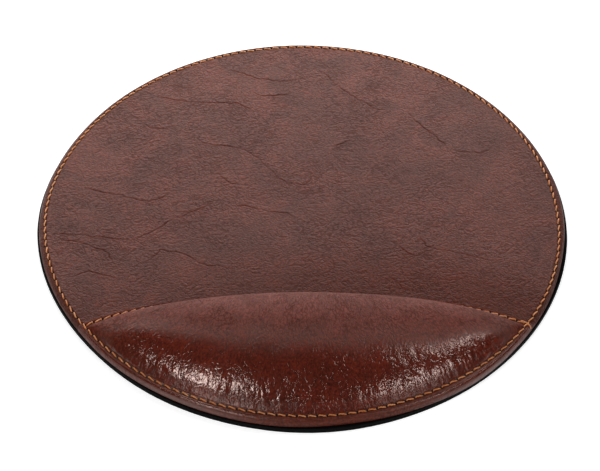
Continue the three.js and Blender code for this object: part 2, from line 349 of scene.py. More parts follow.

# %% [markdown]
# ## Leather finishes
# Both leathers are the same red-brown hide. On the mousing leather the wrinkles run from side to side. On
# the wrist rest they follow the pull of the rim's stitches, so its grain is placed by the angle round the
# pad and the distance from its middle. Near the rim both are burnished: rubbed with warm wax until they
# turn redder and mirror less. Beside the seam on the mousing leather, most on the right, and on the wrist
# rest's left tip, the same burnished colour and lower sheen are painted shade. The wrist rest's front is
# polished by use, so there the same leather is smooth and shiny. A clear coat over it would lay one even
# grey film on the brown, so the shine comes from the leather's own roughness and specular level. The dark
# colour of the wrinkles and creases is partly the leather's own and partly painted shade in their hollows.
# For all this the meshes carry four numbers at each point: how burnished or painted with shade, how polished
# and how creased it is, and how deep in a needle hole or in the band beside the thread, both painted dark
# as shade.

# %% Places on the leather
def in_millimetres(tree):
    """A point's place on its object, in millimetres."""
    return vectors(tree, "SCALE", {0: object_place(tree), "Scale": 1 / MM})


def round_the_pad(tree):
    """A place as length along the rim, distance from the middle and height, in millimetres."""
    x, y, z = put(tree, "ShaderNodeSeparateXYZ", {0: in_millimetres(tree)}).outputs
    angle = calc(tree, "ARCTAN2", x, calc(tree, "MULTIPLY", y, -1.0))
    along = calc(tree, "MULTIPLY", angle, LEATHER_RADIUS)
    away = calc(tree, "SQRT", calc(tree, "ADD", calc(tree, "POWER", x, 2.0), calc(tree, "POWER", y, 2.0)))
    return put(tree, "ShaderNodeCombineXYZ", {0: along, 1: away, 2: z}).outputs[0]


print("the leather's edge is", round(2 * math.pi * LEATHER_RADIUS), "mm round")

# %% Leather colour and gloss
# Near black, painted as shade in the needle holes and in a band beside the thread.
HOLE_SHADE_COLOUR = (0.003, 0.001, 0.001, 1.0)
CREASE_SHADE = 0.75
LINE_SHADE = 0.6
LINE_ROUGHNESS = 0.30
WAXED_ROUGHNESS = 0.12
WAXED_AND_SHADED_LEVEL = 0.35
POLISHED_ROUGHNESS = 0.15
POLISHED_LEVEL = 0.95


def mark(tree, name):
    """A number that the mesh carries at each point."""
    return put(tree, "ShaderNodeAttribute", attribute_name=name).outputs["Fac"]


def shaded(tree, colour, value, low, high):
    """A colour made darker where the value is small and lighter where it is large."""
    shade = fade(tree, value, 0.25, 0.75, low, high)
    shade = put(tree, "ShaderNodeCombineColor", {"Red": shade, "Green": shade, "Blue": shade}).outputs[0]
    return blend(tree, 1.0, colour, shade, "MULTIPLY")


def leather_colour(tree, hide, colours, tone, lines):
    """Clouds of dye, patchy wax and painted shade, the grain's tone, dark lines partly painted as shade, and
    needle holes painted black as shade.
    """
    dark, light, line, burnished = colours
    colour = blend(tree, fade(tree, hide["Cloud"], 0.36, 0.64), dark, light)
    # Burnish, and the painted shade beside the seam and on the left tip, swap in the burnished colour.
    patchy = put(tree, "ShaderNodeTexNoise", {"Scale": 260.0, "Detail": 3.0}).outputs[0]
    waxed_and_shaded = calc(tree, "MULTIPLY", mark(tree, "burnish"), fade(tree, patchy, 0.3, 0.7, 0.4, 1.0))
    colour = blend(tree, waxed_and_shaded, colour, burnished)
    colour = shaded(tree, colour, hide["Grain"], 1.0 - tone, 1.0 + tone)
    # The line colour is partly the leather's own and partly painted shade in the hollows of wrinkles and
    # creases.
    colour = blend(tree, calc(tree, "MULTIPLY", lines, LINE_SHADE), colour, line)
    # Needle holes and the band beside the thread are painted near black as shade.
    return blend(tree, fade(tree, mark(tree, "hole"), 0.05, 0.4), colour, HOLE_SHADE_COLOUR)


def leather_roughness(tree, hide, gloss, lines):
    """Satin, rougher in its lines, smoother where it is waxed and where shade is painted, and smooth where
    it is polished.
    """
    satin = fade(tree, hide["Cloud"], 0.3, 0.7, gloss + 0.05, gloss - 0.05)
    satin = calc(tree, "ADD", satin, calc(tree, "MULTIPLY", lines, LINE_ROUGHNESS))
    satin = calc(tree, "SUBTRACT", satin, calc(tree, "MULTIPLY", mark(tree, "burnish"), WAXED_ROUGHNESS))
    return fade(tree, mark(tree, "polish"), 0.0, 1.0, satin, POLISHED_ROUGHNESS)


def leather_level(tree, creased_in, sheen):
    """How much it mirrors: less in creases, where it is waxed and where shade is painted, most where it is
    polished.
    """
    level = fade(tree, creased_in, 0.0, 0.9, sheen, 0.3 * sheen)
    level = calc(tree, "MULTIPLY", level, fade(tree, mark(tree, "burnish"), 0.0, 1.0, 1.0, WAXED_AND_SHADED_LEVEL))
    return fade(tree, mark(tree, "polish"), 0.0, 1.0, level, POLISHED_LEVEL)


print("leather is polished to a roughness of", POLISHED_ROUGHNESS)

# %% Leather finishes
def raised(tree, shader, height, distance):
    """Bumps the surface by a height pattern times a distance in millimetres."""
    bump = put(tree, "ShaderNodeBump", {"Height": height, "Distance": distance * MM, "Strength": 1.0})
    tree.links.new(bump.outputs[0], shader.inputs["Normal"])


def leather_finish(name, place_on, colours, grain, tone, depth, gloss, sheen, relief, tint):
    """A leather with its colours, its grain and how dark that is, its roughness, sheen and relief."""
    finish, tree, shader = new_finish(name)
    hide = put(tree, "ShaderNodeGroup", node_tree=LEATHER_GRAIN)
    for socket, value in grain.items():
        hide.inputs[socket].default_value = value
    tree.links.new(place_on(tree), hide.inputs["Place"])
    hide = hide.outputs
    creased_in = calc(tree, "MULTIPLY", mark(tree, "crease"), CREASE_SHADE)
    lines = calc(tree, "MAXIMUM", calc(tree, "MULTIPLY", hide["Line"], depth), creased_in)
    tree.links.new(leather_colour(tree, hide, colours, tone, lines), shader.inputs["Base Color"])
    tree.links.new(leather_roughness(tree, hide, gloss, lines), shader.inputs["Roughness"])
    tree.links.new(leather_level(tree, creased_in, sheen), shader.inputs["Specular IOR Level"])
    shader.inputs["Specular Tint"].default_value = tint
    raised(tree, shader, hide["Height"], relief)
    return finish


# Per leather: dark and light dye, a line colour that is partly painted shade, and the burnished colour,
# which is also painted shade beside the seam and on the wrist rest's left tip.
PANEL_COLOURS = (
    (0.087, 0.0228, 0.0156, 1.0),
    (0.121, 0.0236, 0.0134, 1.0),
    (0.040, 0.009, 0.005, 1.0),
    (0.088, 0.0184, 0.0094, 1.0),
)
COVER_COLOURS = (
    (0.096, 0.0130, 0.0054, 1.0),
    (0.133, 0.0160, 0.0060, 1.0),
    (0.030, 0.004, 0.002, 1.0),
    (0.115, 0.019, 0.008, 1.0),
)
PANEL_FINISH = leather_finish(
    "mousing_leather",
    in_millimetres,
    PANEL_COLOURS,
    {"Stretch": (1.15, 1.45, 1.45), "Wrinkles": 0.33},
    tone=0.36,
    depth=0.68,
    gloss=0.52,
    sheen=0.255,
    relief=1.12,
    tint=(1.0, 0.95, 0.88, 1.0),
)
COVER_FINISH = leather_finish(
    "wrist_rest_leather",
    round_the_pad,
    COVER_COLOURS,
    {"Stretch": (1.4, 1.05, 1.05), "Wrinkles": 0.38},
    tone=0.44,
    depth=0.95,
    gloss=0.74,
    sheen=0.58,
    relief=0.32,
    tint=(0.95, 0.74, 0.67, 1.0),
)
print("leathers", PANEL_FINISH.name, COVER_FINISH.name)

# %% [markdown]
# ## Rubber, board, foam and thread
# The rest of the stock is plain: foamed rubber with tiny open cells, grey-brown fibreboard, pale foam, and
# a waxed orange thread whose plies catch the light. Pictures of them would need unwrapped meshes. Patterns
# of cells and noise don't, and they keep their scale on every piece.

# %% Other finishes
def cellular_finish(name, colour, pore_colour, pores, roughness, bump):
    """A foam or a board: small cells between walls, with a darker tone in the cells."""
    finish, tree, shader = new_finish(name)
    place = object_place(tree)
    cells = put(tree, "ShaderNodeTexVoronoi", {"Vector": place, "Scale": pores}).outputs["Distance"]
    grit = soft_noise(tree, place, pores * 2.5, 3.0)
    wall = fade(tree, calc(tree, "ADD", cells, calc(tree, "MULTIPLY", grit, 0.4)), 0.35, 0.85)
    tree.links.new(blend(tree, wall, pore_colour, colour), shader.inputs["Base Color"])
    matt = fade(tree, grit, 0.3, 0.7, roughness - 0.06, roughness + 0.06)
    tree.links.new(matt, shader.inputs["Roughness"])
    raised(tree, shader, wall, bump)
    shader.inputs["Specular IOR Level"].default_value = 0.08
    return finish


THREAD_DARK = (0.70, 0.235, 0.062, 1.0)
THREAD_LIGHT = (0.84, 0.36, 0.135, 1.0)


def thread_finish():
    """Waxed thread: fine fibres, and a dye that took more in some stretches than in others."""
    finish, tree, shader = new_finish("orange_thread")
    place = object_place(tree)
    fibre = soft_noise(tree, place, 1800.0, 4.0)
    patch = soft_noise(tree, place, 120.0, 2.0)
    colour = blend(tree, fade(tree, patch, 0.3, 0.7), THREAD_DARK, THREAD_LIGHT)
    tree.links.new(shaded(tree, colour, fibre, 0.72, 1.12), shader.inputs["Base Color"])
    tree.links.new(fade(tree, fibre, 0.2, 0.8, 0.40, 0.60), shader.inputs["Roughness"])
    raised(tree, shader, fibre, 0.05)
    return finish


RUBBER_FINISH = cellular_finish(
    "base_rubber", (0.0024, 0.0020, 0.0020, 1), (0.0008, 0.0007, 0.0007, 1), 900.0, 0.85, 0.08
)
BOARD_FINISH = cellular_finish("fibreboard", (0.25, 0.17, 0.10, 1), (0.12, 0.08, 0.05, 1), 600.0, 0.9, 0.1)
FOAM_FINISH = cellular_finish("pale_foam", (0.68, 0.64, 0.52, 1), (0.42, 0.38, 0.28, 1), 1100.0, 0.95, 0.2)
THREAD_FINISH = thread_finish()
print("finishes", [m.name for m in bpy.data.materials])

# %% [markdown]
# ## Seam and stitches
# The wrist rest's seam is part of an ellipse. A point on it is found by a turn along the ellipse and an
# offset behind the stitches. Each stitch pulls the leather into a shallow valley, and the needle leaves a
# small hole at each end. The holes could be cut through the leather, but thread fills them, so a dent in the
# mesh and a dark colour, which is painted shade, are enough.

# %% Seam
STITCH_MARGIN = 0.7


def run_along(path):
    """The length run at each point of a path, from its start."""
    return np.concatenate([[0.0], np.cumsum(np.linalg.norm(np.diff(path, axis=0), axis=1))])


def seam_point(turn, offset):
    """X and Y of a point on a line beside the seam."""
    side, back = np.sin(turn), np.cos(turn)
    length = np.hypot(side * SEAM_SAG, back * SEAM_HALF)
    x = SEAM_HALF * side + offset * side * SEAM_SAG / length
    y = SEAM_CENTRE + SEAM_SAG * back + offset * back * SEAM_HALF / length
    return x, y


def seam_turn_at(radius, offset):
    """The turn at which a line beside the seam reaches a radius."""
    inside = np.zeros(np.broadcast(radius, offset).shape)
    outside = inside + math.pi / 2
    for _ in range(50):
        middle = (inside + outside) / 2
        within = np.hypot(*seam_point(middle, offset)) < radius
        inside = np.where(within, middle, inside)
        outside = np.where(within, outside, middle)
    return inside


def seam_length_table():
    """Turns along the seam and the length run at each of them, from its middle."""
    turns = np.linspace(-math.pi / 2, math.pi / 2, 4001)
    run = run_along(np.column_stack(seam_point(turns, 0.0)))
    return turns, run - run[len(run) // 2]


SEAM_TURNS, SEAM_RUN = seam_length_table()
SEAM_END_TURN = float(seam_turn_at(STITCH_RADIUS - STITCH_MARGIN, 0.0))
SEAM_HALF_RUN = float(np.interp(SEAM_END_TURN, SEAM_TURNS, SEAM_RUN))
SEAM_STITCH = 2 * SEAM_HALF_RUN / SEAM_STITCHES
RIM_STITCH = 2 * math.pi * STITCH_RADIUS / RIM_STITCHES
print("rim stitch", round(RIM_STITCH, 2), "seam stitch", round(SEAM_STITCH, 2))

# %% Stitches
VALLEY_DEPTH = 0.30
VALLEY_HALF = 0.55
VALLEY_START = 0.25
HOLE_DEPTH = 0.45
HOLE_HALF = 0.45


def bell(away, half):
    """A smooth bump that is 1 in its middle and fades over a width of half to each side."""
    return np.exp(-(away / half) ** 2)


def rim_phase(x, y):
    """Where a point lies along its rim stitch, from 0 at one needle hole to 1 at the next."""
    turns = np.arctan2(x, -y) / (2 * math.pi)
    return (turns * RIM_STITCHES) % 1.0


def seam_phase(turn):
    """Where a point lies along its seam stitch, from 0 to 1."""
    return ((np.interp(turn, SEAM_TURNS, SEAM_RUN) + SEAM_HALF_RUN) / SEAM_STITCH) % 1.0


def needle_hole(across, phase, stitch):
    """1 in the middle of a needle hole and 0 away from it."""
    along = np.minimum(phase, 1 - phase) * stitch
    return np.exp(-(across ** 2 + along ** 2) / HOLE_HALF ** 2)


def stitch_drop(across, phase, stitch):
    """How far a row of stitches pulls the leather down."""
    valley = VALLEY_DEPTH * bell(across, VALLEY_HALF)
    starts = np.clip((across + STITCH_MARGIN) / VALLEY_START, 0, 1)
    return starts * (valley + HOLE_DEPTH * needle_hole(across, phase, stitch))


print("a needle hole is", HOLE_DEPTH, "mm deep")

# %% [markdown]
# ## Mesh helpers
# Most pieces are grids: rows of points that are joined by quads. A helper makes an object from such points,
# welds what lies on the same spot, and stores the numbers that the leather finishes read. The pad was cut
# out and sewn by hand, so its outline, its row of stitches and the leather's edge over the base stray by up
# to a millimetre. Every piece follows that. A swell has its angle from the front and its width, in degrees,
# and its height in millimetres.

# %% Shape helpers
RIM_PRESS = 0.5
OUTLINE_SWELLS = (
    (-90, 17, 0.95), (-50, 15, -0.6), (3, 17, 0.75), (50, 18, -0.35), (-145, 25, -0.2), (145, 20, 0.13),
)
STITCH_SWELLS = ((-50, 26, 0.9), (50, 24, 0.9), (92, 14, -0.4), (-95, 14, 0.2))
LEATHER_SWELLS = ((7, 9, -0.6), (36, 12, 0.9), (75, 12, -0.7), (-46, 9, 0.3))


def eased(share):
    """A smooth step from 0 to 1."""
    share = np.clip(share, 0, 1)
    return share * share * (3 - 2 * share)


def on_circle(radius, angle):
    """X and Y at a radius and an angle from the front."""
    return radius * np.sin(angle), -radius * np.cos(angle)


def as_points(x, y, z):
    """Three grids of coordinates as one list of points."""
    return np.stack(np.broadcast_arrays(x, y, z), -1).reshape(-1, 3)


def wander(x, y, z, size, seed):
    """Soft noise between about -1 and 1 that changes over a length of size."""
    values = [noise.noise(Vector(spot)) for spot in as_points(x / size, y / size, z / size + seed)]
    return np.array(values).reshape(np.broadcast(x, y, z).shape)


def swells(angle, bumps):
    """The sum of smooth bumps round the pad, each with its angle, width and height."""
    total = np.zeros_like(angle)
    for place, width, amount in bumps:
        away = (angle - place + 180) % 360 - 180
        total += amount * bell(away, width)
    return total


def hand_cut(points):
    """Moves points as the outline, the row of stitches and the leather's edge stray round the pad."""
    x, y, z = np.asarray(points, float).T
    angle = np.degrees(np.arctan2(x, -y))
    radius = np.hypot(x, y)
    grown = 1 + swells(angle, OUTLINE_SWELLS) / PAD_RADIUS * (radius / PAD_RADIUS) ** 3
    row = eased((radius - STITCH_RADIUS + 14) / 13) * eased((LEATHER_RADIUS - 0.3 - radius) / 2.2)
    grown = grown + swells(angle, STITCH_SWELLS) * row / np.maximum(radius, 1.0)
    over = eased((radius - STITCH_RADIUS - 0.4) / (LEATHER_RADIUS - STITCH_RADIUS - 0.8))
    over = over * (z > BASE_TOP - RIM_PRESS + 0.01)
    grown = grown + swells(angle, LEATHER_SWELLS) * over / np.maximum(radius, 1.0)
    return np.column_stack([x * grown, y * grown, z])


print("the outline strays by up to", max(height for _, _, height in OUTLINE_SWELLS))

# %% Mesh helpers
WELD = 1e-4


def grid_faces(rows, columns, first=0, closed=False, flip=False):
    """Quads between neighbouring rows and columns of a grid whose points run along the rows."""
    across = np.arange(columns if closed else columns - 1)
    row, column = np.meshgrid(np.arange(rows - 1), across, indexing="ij")
    a = first + row * columns + column
    b = first + row * columns + (column + 1) % columns
    quads = np.stack([a, b, b + columns, a + columns], -1).reshape(-1, 4)
    return (quads[:, ::-1] if flip else quads).tolist()


def make_piece(name, points, faces, finish, marks=None):
    """An object from points in millimetres, smooth shaded, with its finish and its place in the frame."""
    mesh = bpy.data.meshes.new(name)
    mesh.from_pydata((hand_cut(points) * MM).tolist(), [], faces)
    for key, values in (marks or {}).items():
        layer = mesh.attributes.new(key, "FLOAT", "POINT")
        layer.data.foreach_set("value", np.asarray(values, np.float32))
    mesh.materials.append(finish)
    piece = bpy.data.objects.new(name, mesh)
    bpy.context.scene.collection.objects.link(piece)
    weld(mesh)
    mesh.shade_smooth()
    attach(piece, "root")
    return piece


def weld(mesh):
    """Joins points on the same spot and drops faces that have no area left."""
    shape = bmesh.new()
    shape.from_mesh(mesh)
    bmesh.ops.remove_doubles(shape, verts=shape.verts, dist=WELD * MM)
    bmesh.ops.dissolve_degenerate(shape, edges=shape.edges, dist=WELD * MM)
    shape.to_mesh(mesh)
    shape.free()


print("mesh helpers ready")

# %% [markdown]
# ## Base sheet
# A black foamed-rubber sheet lies under everything. It is punched out, so its edge is upright with a
# slightly torn surface. A turned profile is the plain way to make it. The edge then gets a little noise.

# %% Base sheet
BASE_COLUMNS = 420
BASE_ROUND = 0.2
PRESS_WIDTH = 5.0
HEM_TURN = 0.45
BASE_WIDER = 0.4
BASE_TORN = 0.05


def turned(profile, columns):
    """A profile of radius and height, turned round the pad's axis."""
    angle = np.linspace(0, 2 * math.pi, columns, endpoint=False)
    radius, height = np.array(profile).T
    x, y = on_circle(radius[:, None], angle)
    return x, y, np.broadcast_to(height[:, None], x.shape)


def quarter(radius, height, size, start, end, steps):
    """A rounded corner of a profile, as points of radius and height."""
    angles = np.radians(np.linspace(start, end, steps))
    return [(radius + size * math.cos(a), height + size * math.sin(a)) for a in angles]


def base_sheet():
    """A turned profile, a little wider at the sides and the back, with a torn edge."""
    edge = PAD_RADIUS
    profile = [(0.0, 0.0), (40.0, 0.0), (80.0, 0.0)]
    profile += quarter(edge - BASE_ROUND, BASE_ROUND, BASE_ROUND, -90, 0, 6)
    profile += [(edge, 0.7), (edge, 1.2), (edge, 1.7)]
    profile += quarter(edge - BASE_ROUND, BASE_TOP - RIM_PRESS - BASE_ROUND, BASE_ROUND, 0, 90, 4)
    profile += [(LEATHER_RADIUS - HEM_TURN, BASE_TOP - RIM_PRESS), (LEATHER_RADIUS - PRESS_WIDTH, BASE_TOP)]
    profile += [(60.0, BASE_TOP), (0.0, BASE_TOP)]
    x, y, z = turned(profile, BASE_COLUMNS)
    on_edge = np.hypot(x, y) > edge - 0.3
    wider = BASE_WIDER * eased((np.abs(np.degrees(np.arctan2(x, -y))) - 60) / 25)
    ragged = 1 + on_edge * (wider + wander(x, y, z, 1.6, 3.0) * BASE_TORN) / edge
    points = as_points(x * ragged, y * ragged, z)
    faces = grid_faces(len(profile), BASE_COLUMNS, closed=True)
    piece = make_piece("base_rubber_sheet", points, faces, RUBBER_FINISH)
    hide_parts("base_sheet")
    return piece


base = base_sheet()
print(base.name, len(base.data.polygons), "faces")

# %% [markdown]
# ## Rim of the leather
# Both leathers end in the same way: flat up to the stitches, a pressed crease, a rounded edge, an upright
# side and a pared hem that is turned under the board. The rows of the grid lie close together where the
# surface bends. A bevel would round the edge with less work, but it couldn't tell a stitch from a crease.
# Outside the stitches the leather is burnished, and where hands pick the pad up its edge is polished.

# %% Rim rows
HEM_WIDTH = 10.0
HEM_SHARE = 0.38
HEM_GAP = 0.02
CREASE_INSET = 1.35
PRESSED_HALF = 0.28
FACES_UP = 1.2
PANEL_EDGE = 2.4
COVER_EDGE = 1.7
STITCH_ROWS = (-1.3, -0.9, -0.62, -0.44, -0.3, -0.15, 0.0, 0.15, 0.3, 0.44, 0.62, 0.9, 1.1, 1.3, 1.5)


def rim_rows(top, start, edge_round):
    """Radius and height of each row from the flat leather, over the edge and under the board."""
    bottom = BASE_TOP - RIM_PRESS + HEM_GAP
    turn = LEATHER_RADIUS - edge_round
    flat = [STITCH_RADIUS + step for step in STITCH_ROWS]
    rows = [(start, top)]
    rows += [(radius, top) for radius in flat if start + 0.05 < radius < turn - 0.1]
    rows += quarter(turn, top - edge_round, edge_round, 90, 0, 15)
    rows += quarter(LEATHER_RADIUS - HEM_TURN, bottom + HEM_TURN, HEM_TURN, 0, -90, 5)
    rows += [(LEATHER_RADIUS - inset, BASE_TOP + HEM_GAP) for inset in (PRESS_WIDTH, HEM_WIDTH)]
    return np.array(rows)


def rim_relief(x, y, z, radius, top, crease):
    """Sinks the leather at the stitches and at the pressed crease, where it still faces up."""
    drop = stitch_drop(radius - STITCH_RADIUS, rim_phase(x, y), RIM_STITCH)
    drop = drop + crease * bell(radius - LEATHER_RADIUS + CREASE_INSET, PRESSED_HALF)
    return z - np.where(z > top - FACES_UP, drop, 0.0)


def rim_height(radius, top, edge_round):
    """Height of a leather's upper side at a radius, over its rounded edge."""
    over = np.clip(radius - LEATHER_RADIUS + edge_round, 0, edge_round)
    return top - edge_round + np.sqrt(edge_round ** 2 - over ** 2)


def pared(rows):
    """Share of the leather's thickness in each row: the hem is pared thin."""
    return np.where(np.arange(rows) > rows - 4, HEM_SHARE, 1.0)


print("rim rows", len(rim_rows(PANEL_TOP, STITCH_RADIUS - 4, PANEL_EDGE)))

# %% Rim marks
STITCH_SHADE = 0.17
STITCH_SHADE_HALF = 0.7
BURNISH_START = 1.3
BURNISH_FADE = 1.2
RIM_POLISH = 0.28
EDGE_POLISH = 0.35
HANDLED = ((-48, 24, 0.35), (68, 20, 0.25))


def rim_marks(x, y, radius):
    """How burnished a point of the rim is, and how deep in a hole or in the shade beside the thread."""
    across = radius - STITCH_RADIUS
    # A band of painted shade beside the thread, joined with the needle holes, which are painted dark as
    # shade.
    shade = STITCH_SHADE * bell(across, STITCH_SHADE_HALF)
    hole = np.maximum(needle_hole(across, rim_phase(x, y), RIM_STITCH), shade)
    burnish = np.clip((radius - STITCH_RADIUS + BURNISH_START) / BURNISH_FADE, 0, 1)
    return {"burnish": burnish, "hole": hole}


def rim_polish(radius, x):
    """The rounded edge is rubbed shiny, most of all where hands pick the pad up."""
    edge = eased(radius - LEATHER_RADIUS + 1.8) * eased((LEATHER_RADIUS - 0.1 - radius) / 0.3)
    polish = RIM_POLISH + EDGE_POLISH * edge
    for place, width, amount in HANDLED:
        polish = polish + amount * bell(x - place, width)
    return polish


print("the rim is polished most at x =", [place for place, _, _ in HANDLED])

# %% [markdown]
# ## Long creases
# A few long creases cross the mousing leather where the hide was folded. They are too long for the grain
# pattern and each has its own way, so each is a row of waypoints in whole millimetres. A little
# noise shakes the line between them. A search tree then tells every point of the leather how far it is from
# the nearest crease.

# %% Long creases
CREASES = (
    ((-33, 91), (-26, 89), (-20, 85), (-9, 83), (2, 85)),
    ((8, 91), (12, 86), (18, 78), (25, 71), (32, 65), (38, 63)),
    ((46, 63), (52, 54), (58, 47), (64, 38)),
    ((64, 38), (71, 37), (78, 36), (83, 41)),
    ((-23, 77), (-17, 73), (-9, 74), (-2, 75)),
    ((-66, 73), (-57, 71), (-47, 69), (-38, 69), (-29, 69), (-21, 63)),
    ((-48, 49), (-43, 43), (-33, 41), (-25, 39), (-18, 32), (-11, 22), (-6, 18), (1, 17), (5, 24)),
    ((-71, 56), (-65, 53), (-57, 52)),
    ((-38, 25), (-31, 18), (-26, 18)),
    ((-94, 16), (-85, 13), (-72, 9), (-65, 7), (-56, 12)),
    ((-103, -11), (-92, -12), (-79, -14), (-71, -15), (-63, -11), (-55, -3), (-47, 1), (-38, 6)),
    ((-101, -14), (-89, -17), (-81, -22), (-76, -31)),
    ((-95, -36), (-88, -32), (-81, -35), (-75, -37)),
    ((-64, -27), (-59, -21), (-50, -22), (-43, -28), (-33, -30)),
    ((-30, 4), (-23, 4), (-13, 1), (-7, 0), (0, -5)),
    ((12, 40), (23, 46)),
    ((27, 35), (32, 32)),
    ((7, -23), (12, -27), (12, -31), (5, -36)),
    ((36, -16), (45, -25), (52, -21)),
    ((34, -35), (42, -45)),
    ((47, -12), (51, -19), (60, -22), (71, -25), (77, -28)),
)
print("long creases", len(CREASES))

# %% Crease helpers
CREASE_STEP = 0.7
CREASE_SHAKE = 0.7
CREASE_SIDES = (-1.0, -0.65, -0.38, -0.18, 0.0, 0.18, 0.38, 0.65, 1.0)
CREASE_HALF = 0.32
CREASE_DEPTH = 0.14
CREASE_LIP = 0.05
CREASE_LIP_PLACE = 0.75
CREASE_LIP_HALF = 0.28


def crease_path(waypoints):
    """Points along a crease with a little shake, and how strong it is at each of them."""
    corners = np.array(waypoints, float)
    run = run_along(corners)
    way = np.arange(0.0, run[-1], CREASE_STEP)
    x = np.interp(way, run, corners[:, 0])
    y = np.interp(way, run, corners[:, 1])
    flat = np.zeros_like(x)
    path = np.column_stack([x, y])
    for size, seeds in ((2.7, (21.0, 23.0)), (7.0, (22.0, 24.0))):
        path = path + CREASE_SHAKE * np.column_stack([wander(x, y, flat, size, seed) for seed in seeds])
    ends = np.clip(np.minimum(way, run[-1] - way) / 4.0, 0, 1)
    strength = ends * np.clip(0.8 + 0.7 * wander(x, y, flat, 6.0, 25.0), 0.25, 1.0)
    return path, strength


def crease_tree():
    """All long creases: their points, their strength and a tree that finds the nearest one."""
    paths = [crease_path(waypoints) for waypoints in CREASES]
    points = np.concatenate([path for path, _ in paths])
    strength = np.concatenate([strong for _, strong in paths])
    tree = kdtree.KDTree(len(points))
    for index, (x, y) in enumerate(points):
        tree.insert((x, y, 0.0), index)
    tree.balance()
    return [path for path, _ in paths], strength, tree


CREASE_PATHS, CREASE_STRENGTH, CREASE_TREE = crease_tree()


def beside_creases():
    """Points on and beside the creases, so that the net is fine there."""
    rows = []
    for path in CREASE_PATHS:
        ahead = np.gradient(path, axis=0)
        ahead /= np.linalg.norm(ahead, axis=1, keepdims=True)
        aside = np.column_stack([-ahead[:, 1], ahead[:, 0]])
        rows += [path + aside * side for side in CREASE_SIDES]
    return np.concatenate(rows)


def creased(points):
    """How much each point lies in a crease, and how far that moves it up or down."""
    found = [CREASE_TREE.find((x, y, 0.0)) for x, y in points]
    away = np.array([distance for _, _, distance in found])
    strength = CREASE_STRENGTH[[index for _, index, _ in found]]
    inside = strength * bell(away, CREASE_HALF)
    lip = strength * bell(away - CREASE_LIP_PLACE, CREASE_LIP_HALF)
    return inside, CREASE_LIP * lip - CREASE_DEPTH * inside, away


print("points on the creases", len(CREASE_STRENGTH))

# %% [markdown]
# ## Mousing leather
# The large leather is flat, so its field can be any fine net of triangles. A net that fills an outline comes
# from Blender's own triangulation, and it is finer beside the long creases. The rim is a dense band of quads
# round the back, from one end of the seam to the other. A narrow strip runs on under the wrist rest's lip.
# Beside the seam, most on the right, the leather is painted darker and made to mirror less, as painted
# shade.

# %% Mousing leather net
FIELD_RADIUS = STITCH_RADIUS - 3.8
FIELD_STEP = 1.1
PANEL_COLUMNS = 1800
UNDER_LIP = LIP_WIDTH - 0.45
PANEL_CREASE = 0.05
CREASE_CLEAR = 1.3


def panel_rim():
    """The band round the back, whose two ends follow the seam."""
    rows = rim_rows(PANEL_TOP, FIELD_RADIUS, PANEL_EDGE)
    radius = rows[:, 0][:, None]
    end_x, end_y = seam_point(seam_turn_at(rows[:, 0], UNDER_LIP), UNDER_LIP)
    end = np.arctan2(end_x, -end_y)[:, None]
    share = np.linspace(0, 1, PANEL_COLUMNS)[None, :]
    x, y = on_circle(radius, end + (2 * math.pi - 2 * end) * share)
    z = np.broadcast_to(rows[:, 1][:, None], x.shape)
    z = rim_relief(x, y, z, radius, PANEL_TOP, PANEL_CREASE)
    return x, y, z, np.broadcast_to(radius, x.shape)


def panel_field(ring_x, ring_y, seam_x, seam_y):
    """Triangles inside the rim band and behind the seam."""
    outline = [Vector(p) for p in zip(ring_x, ring_y)]
    outline += [Vector(p) for p in zip(seam_x[1:-1], seam_y[1:-1])]
    count = len(outline)
    edges = [(i, (i + 1) % count) for i in range(count)]
    inside = []
    height = FIELD_STEP * math.sqrt(3) / 2
    rows = int(2 * FIELD_RADIUS / height)
    for row in range(rows):
        y = -FIELD_RADIUS + (row + 0.5) * height
        shift = 0.5 * FIELD_STEP * (row % 2)
        for x in np.arange(-FIELD_RADIUS + shift, FIELD_RADIUS, FIELD_STEP):
            inside.append((x, y))
    inside = np.array(inside)
    clear = np.hypot(inside[:, 0], inside[:, 1]) < FIELD_RADIUS - 0.6 * FIELD_STEP
    seam_line = np.interp(inside[:, 0], seam_x[::-1], seam_y[::-1])
    clear &= inside[:, 1] > seam_line + 0.7 * FIELD_STEP
    clear &= creased(inside)[2] > CREASE_CLEAR
    beside = beside_creases()
    kept = np.hypot(beside[:, 0], beside[:, 1]) < FIELD_RADIUS - 0.6 * FIELD_STEP
    points = outline + [Vector(p) for p in np.concatenate([inside[clear], beside[kept]])]
    found = geometry.delaunay_2d_cdt(points, edges, [], 1, 1e-7)
    flat = np.array([tuple(v) for v in found[0]])
    return flat, [tuple(face) for face in found[2]]


panel_band = panel_rim()
print("rim band", panel_band[0].shape)

# %% Painted seam shade and lap
LAP_WIDTH = 3.2
LAP_DROP = 0.75
SEAM_SHADE_REACH = 50.0
SEAM_SHADE_WIDTH = 60.0


def panel_wave(x, y):
    """The leather isn't quite flat: it rises and falls by less than a tenth of a millimetre."""
    zero = np.zeros_like(x)
    return 0.05 * wander(x, y, zero, 31.0, 1.0) + 0.025 * wander(x, y, zero, 11.0, 2.0)


def seam_shade(x, y):
    """Painted shade beside the seam, strongest there and on the right, fading over its reach."""
    seam = SEAM_CENTRE + SEAM_SAG * np.sqrt(np.clip(1 - (x / SEAM_HALF) ** 2, 0, 1))
    return eased(1 - (y - seam) / SEAM_SHADE_REACH) * (0.75 + 0.25 * np.clip(x / SEAM_SHADE_WIDTH, -1, 1))


def panel_lap(turns):
    """Rows of points from the lip's face down and under the wrist rest's cover."""
    offsets = (UNDER_LIP, UNDER_LIP - 0.12, UNDER_LIP - 0.5, -LAP_WIDTH)
    drops = (0.0, LAP_DROP - 0.03, LAP_DROP, LAP_DROP)
    return [
        as_points(*seam_point(turns, offset), PANEL_TOP - drop) for offset, drop in zip(offsets, drops)
    ]


print("the lap is", LAP_WIDTH, "mm wide")

# %% Mousing leather
SEAM_COLUMNS = 420
LAP_SHARE = 0.45


